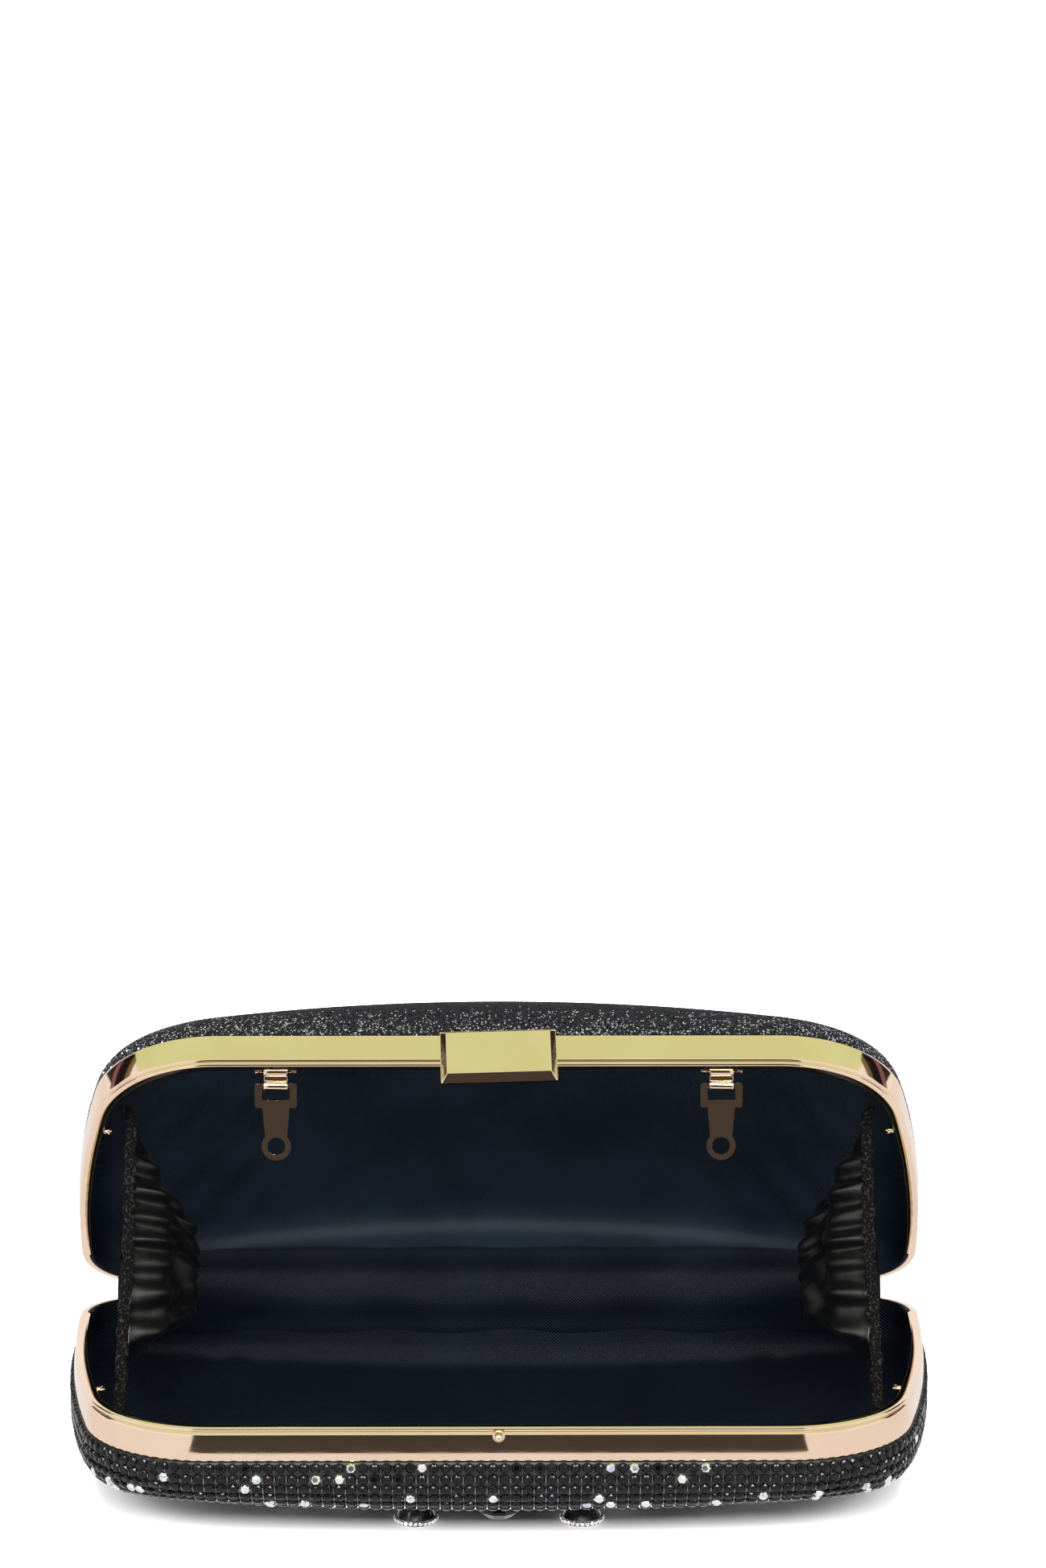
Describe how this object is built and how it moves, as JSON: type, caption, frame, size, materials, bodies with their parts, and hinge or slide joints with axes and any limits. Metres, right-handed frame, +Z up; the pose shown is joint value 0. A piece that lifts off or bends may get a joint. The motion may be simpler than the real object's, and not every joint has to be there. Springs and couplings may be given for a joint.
{
  "type": "clutch purse",
  "caption": "Hard-case clutch purse with hinged metal frames, a crystal-mesh front, a push clasp, gathered side gussets and swinging tabs for a chain.",
  "frame": {"origin": "on the ground, midway along the length and the depth of the open purse as it lies on its front shell", "axes": "+X along the hinge and the long side, +Z up; the opening faces -Y and the hinge is at the +Y side"},
  "size_m": [0.201, 0.1128, 0.1117],
  "materials": {
    "gold": "polished rose-gold plating",
    "shell_board": "black moulded shell",
    "crystal_mesh": "black faceted stones on mesh",
    "setting": "dark setting rimmed with small clear stones",
    "black_stone": "faceted black stone",
    "glitter": "fine black glitter fabric",
    "satin": "navy-black satin twill",
    "elastic": "black crepe-covered elastic",
    "steel": "spring wire"
  },
  "bodies": {
    "front": {"front_frame": "gold", "front_shell": "shell_board", "front_crystal_cover": "crystal_mesh", "front_lining": "satin", "front_medallions": "setting", "front_oval_stones": "black_stone", "front_gusset_clips": "gold", "front_hinge_leaves": "gold", "front_leaf_rivets": "gold", "hinge_pins": "gold", "catch_stud": "gold", "hinge_lining": "satin", "gusset_left": "satin", "gusset_right": "satin", "gusset_elastic_left": "elastic", "gusset_elastic_right": "elastic"},
    "back": {"back_frame": "gold", "back_shell": "shell_board", "back_glitter_cover": "glitter", "back_lining": "satin", "back_gusset_clips": "gold", "back_hinge_leaves": "gold", "back_leaf_rivets": "gold", "clasp_bracket": "gold", "clasp_rivets": "gold", "clasp_pin": "gold", "clasp_spring": "steel", "chain_bracket_left": "gold", "chain_bracket_right": "gold"},
    "clasp": {"clasp_plate": "gold", "catch_fork": "gold"},
    "link_left": {"chain_link_left": "gold"},
    "link_right": {"chain_link_right": "gold"},
    "tab_left": {"chain_tab_left": "gold"},
    "tab_right": {"chain_tab_right": "gold"}
  },
  "joints": [
    {"name": "lid_hinge", "type": "hinge", "parent": "front", "child": "back", "pos_m": [0, 0.0476, 0.0288], "axis": [-1, 0, 0], "range_deg": [-45.1, 5], "deforming": ["gusset_left", "gusset_right", "gusset_elastic_left", "gusset_elastic_right", "hinge_lining"]},
    {"name": "clasp_release", "type": "hinge", "parent": "back", "child": "clasp", "pos_m": [0, -0.02255, 0.10529], "axis": [-1, 0, 0], "range_deg": [0, 8], "stiffness_Nm_per_rad": 0.05, "springref_deg": -5.73},
    {"name": "link_swing_left", "type": "hinge", "parent": "back", "child": "link_left", "pos_m": [-0.049, -0.02023, 0.09857], "axis": [1, 0, 0], "range_deg": [-8, 50]},
    {"name": "tab_swing_left", "type": "hinge", "parent": "link_left", "child": "tab_left", "pos_m": [-0.049, -0.02023, 0.09537], "axis": [1, 0, 0], "range_deg": [-7, 45]},
    {"name": "link_swing_right", "type": "hinge", "parent": "back", "child": "link_right", "pos_m": [0.049, -0.02023, 0.09857], "axis": [1, 0, 0], "range_deg": [-8, 50]},
    {"name": "tab_swing_right", "type": "hinge", "parent": "link_right", "child": "tab_right", "pos_m": [0.049, -0.02023, 0.09537], "axis": [1, 0, 0], "range_deg": [-7, 45]}
  ]
}
